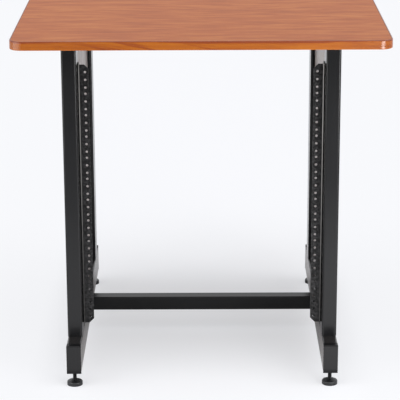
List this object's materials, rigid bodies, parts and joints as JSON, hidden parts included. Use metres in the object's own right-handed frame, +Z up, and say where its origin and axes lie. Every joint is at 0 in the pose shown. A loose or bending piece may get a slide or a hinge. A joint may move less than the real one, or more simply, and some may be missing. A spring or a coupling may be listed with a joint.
{
  "type": "rack cabinet",
  "caption": "Wood-topped rack cabinet: open steel side frames with 19-inch rails, a low cross bar and levelling feet.",
  "frame": {"origin": "on the floor, at the middle of the footprint", "axes": "+X to the right seen from the front, +Y to the back, +Z up"},
  "size_m": [0.752, 0.666, 0.722],
  "materials": {
    "wood_top": "satin wood-grain laminate, reddish brown",
    "wood_edge": "satin wood-grain edge band, orange brown",
    "board": "raw particle board",
    "backing": "matt brown backing paper",
    "powder_black": "satin black powder coat",
    "rail_black": "finely textured black powder coat",
    "zinc": "zinc-plated steel",
    "black_bolts": "black oxide steel",
    "stud_steel": "black zinc-plated threaded steel",
    "pad_plastic": "black moulded plastic"
  },
  "bodies": {
    "frame": {"top_laminate": "wood_top", "edge_band": "wood_edge", "tabletop_core": "board", "backing_sheet": "backing", "cross_bar": "powder_black", "left_foot_beam": "powder_black", "left_top_beam": "powder_black", "left_side_panel": "powder_black", "left_front_foot_cap": "powder_black", "left_rear_foot_cap": "powder_black", "left_front_upright": "powder_black", "left_rear_upright": "powder_black", "left_bar_plate": "powder_black", "right_foot_beam": "powder_black", "right_top_beam": "powder_black", "right_side_panel": "powder_black", "right_front_foot_cap": "powder_black", "right_rear_foot_cap": "powder_black", "right_front_upright": "powder_black", "right_rear_upright": "powder_black", "right_bar_plate": "powder_black", "left_rack_rail": "rail_black", "right_rack_rail": "rail_black", "foot_nuts": "zinc", "left_rail_nuts": "zinc", "left_bar_nuts": "zinc", "left_top_screws": "zinc", "right_rail_nuts": "zinc", "right_bar_nuts": "zinc", "right_top_screws": "zinc", "left_rail_bolts": "black_bolts", "left_bar_bolts": "black_bolts", "left_panel_rivets": "black_bolts", "right_rail_bolts": "black_bolts", "right_bar_bolts": "black_bolts", "right_panel_rivets": "black_bolts"},
    "left_front_pad": {"left_front_pad": "pad_plastic"},
    "left_front_stud": {"left_front_stud": "stud_steel"},
    "left_rear_pad": {"left_rear_pad": "pad_plastic"},
    "left_rear_stud": {"left_rear_stud": "stud_steel"},
    "right_front_pad": {"right_front_pad": "pad_plastic"},
    "right_front_stud": {"right_front_stud": "stud_steel"},
    "right_rear_pad": {"right_rear_pad": "pad_plastic"},
    "right_rear_stud": {"right_rear_stud": "stud_steel"}
  },
  "joints": [
    {"name": "left_front_lift", "type": "slide", "parent": "frame", "child": "left_front_pad", "axis": [0, 0, 1], "range_m": [-0.012, 0.018]},
    {"name": "left_front_turn", "type": "hinge", "parent": "left_front_pad", "child": "left_front_stud", "pos_m": [-0.263, -0.314, 0.03], "axis": [0, 0, 1], "range_deg": [-3816, 5544]},
    {"name": "left_rear_lift", "type": "slide", "parent": "frame", "child": "left_rear_pad", "axis": [0, 0, 1], "range_m": [-0.012, 0.018]},
    {"name": "left_rear_turn", "type": "hinge", "parent": "left_rear_pad", "child": "left_rear_stud", "pos_m": [-0.263, 0.314, 0.03], "axis": [0, 0, 1], "range_deg": [-3816, 5544]},
    {"name": "right_front_lift", "type": "slide", "parent": "frame", "child": "right_front_pad", "axis": [0, 0, 1], "range_m": [-0.012, 0.018]},
    {"name": "right_front_turn", "type": "hinge", "parent": "right_front_pad", "child": "right_front_stud", "pos_m": [0.263, -0.314, 0.03], "axis": [0, 0, 1], "range_deg": [-3816, 5544]},
    {"name": "right_rear_lift", "type": "slide", "parent": "frame", "child": "right_rear_pad", "axis": [0, 0, 1], "range_m": [-0.012, 0.018]},
    {"name": "right_rear_turn", "type": "hinge", "parent": "right_rear_pad", "child": "right_rear_stud", "pos_m": [0.263, 0.314, 0.03], "axis": [0, 0, 1], "range_deg": [-3816, 5544]}
  ],
  "couplings": [
    {"joint": "left_front_turn", "follows": "left_front_lift", "rad_per_m": 5026.5},
    {"joint": "left_rear_turn", "follows": "left_rear_lift", "rad_per_m": 5026.5},
    {"joint": "right_front_turn", "follows": "right_front_lift", "rad_per_m": 5026.5},
    {"joint": "right_rear_turn", "follows": "right_rear_lift", "rad_per_m": 5026.5}
  ]
}
